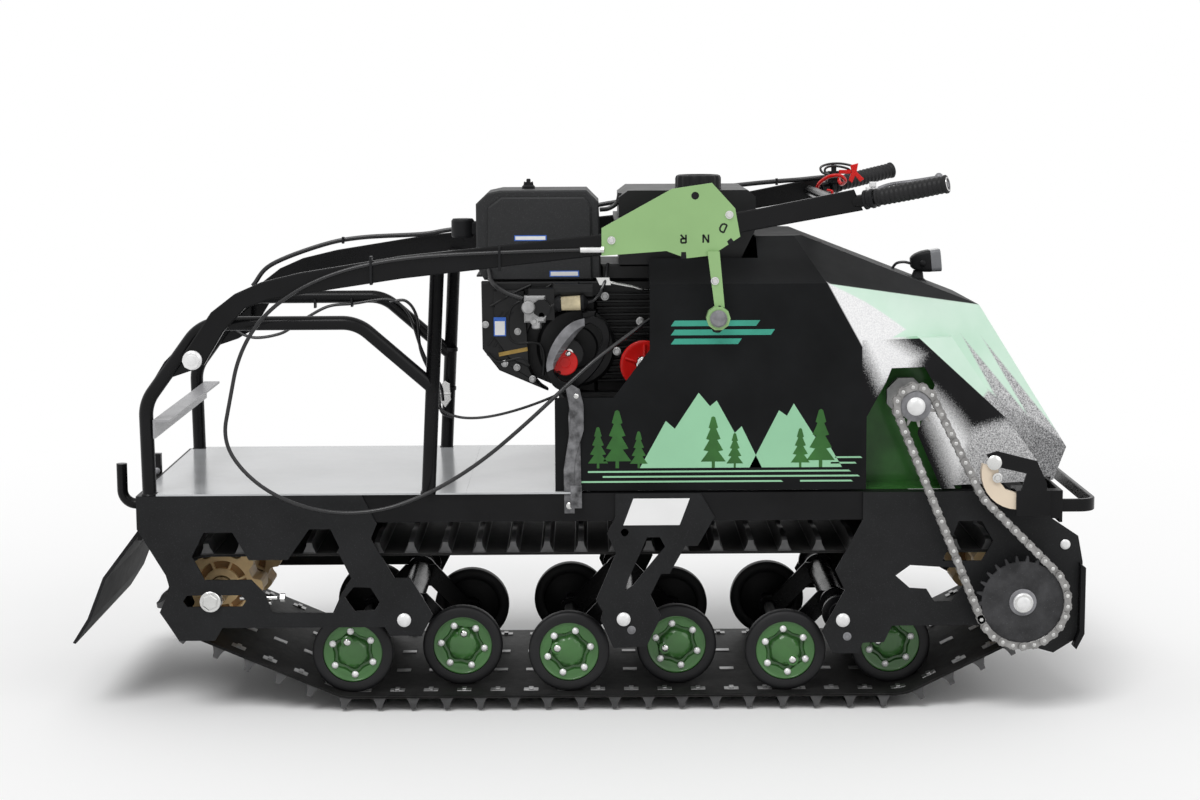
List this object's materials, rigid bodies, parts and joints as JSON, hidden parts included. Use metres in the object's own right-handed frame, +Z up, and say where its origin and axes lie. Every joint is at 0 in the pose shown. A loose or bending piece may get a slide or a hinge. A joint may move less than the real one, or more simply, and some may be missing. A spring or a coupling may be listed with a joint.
{
  "type": "tracked snow towing vehicle",
  "caption": "Rubber-tracked motor sled tug with a flat cargo deck, rack hoops, faceted hood, open chain drive and a handlebar that folds forward over the machine.",
  "frame": {"origin": "on the ground under the plane of symmetry, midway between the two track axles", "axes": "+X forward, +Y to the left, +Z up"},
  "size_m": [1.838, 0.7412, 0.9672],
  "materials": {
    "beige_plastic": "satin",
    "black_plastic": "matt",
    "black_steel": "satin",
    "cable_black": "satin",
    "chain_steel": "oiled",
    "deck_grey": "gloss",
    "engine_black": "gloss",
    "green": "gloss",
    "hood_black": "gloss",
    "plate_black": "satin",
    "rubber": "matt",
    "tan_plastic": "satin",
    "track_rubber": "matt",
    "zinc": "satin"
  },
  "bodies": {
    "machine": {"air_cleaner": "black_plastic", "belt_pulleys": "zinc", "bogies": "black_steel", "carburettor": "zinc", "cargo_deck": "deck_grey", "chainwheel_large": "chain_steel", "chainwheel_small": "chain_steel", "chassis_rails": "black_steel", "drive_chain": "chain_steel", "engine": "engine_black", "engine_mount": "black_steel", "engine_platform": "deck_grey", "engine_shroud": "engine_black", "fuel_cap": "black_plastic", "fuel_tank": "engine_black", "handle_pivots": "zinc", "headlamp": "black_plastic", "hood_shell": "hood_black", "hood_straps": "rubber", "jackshaft": "zinc", "jackshaft_bearing": "zinc", "jackshaft_plate": "green", "mud_flap": "rubber", "rack_crossbar": "deck_grey", "rack_hoops": "black_steel", "roller_discs": "green", "roller_tyres": "rubber", "shift_cable": "cable_black", "side_plates_front": "plate_black", "side_plates_middle": "plate_black", "side_plates_rear": "plate_black", "tensioner_bracket": "black_steel", "tensioner_shoe": "beige_plastic", "tow_fittings": "black_steel", "track": "track_rubber", "track_axles": "zinc", "track_sprockets": "tan_plastic"},
    "handlebar": {"arm_cable": "cable_black", "hand_controls": "zinc", "handle_arms": "black_steel", "handle_grips": "rubber", "selector_lever": "green", "selector_plate": "green"}
  },
  "joints": [
    {"name": "handlebar_fold", "type": "hinge", "parent": "machine", "child": "handlebar", "pos_m": [-0.736, 0, 0.646], "axis": [0, -1, 0], "range_deg": [0, 150]}
  ]
}
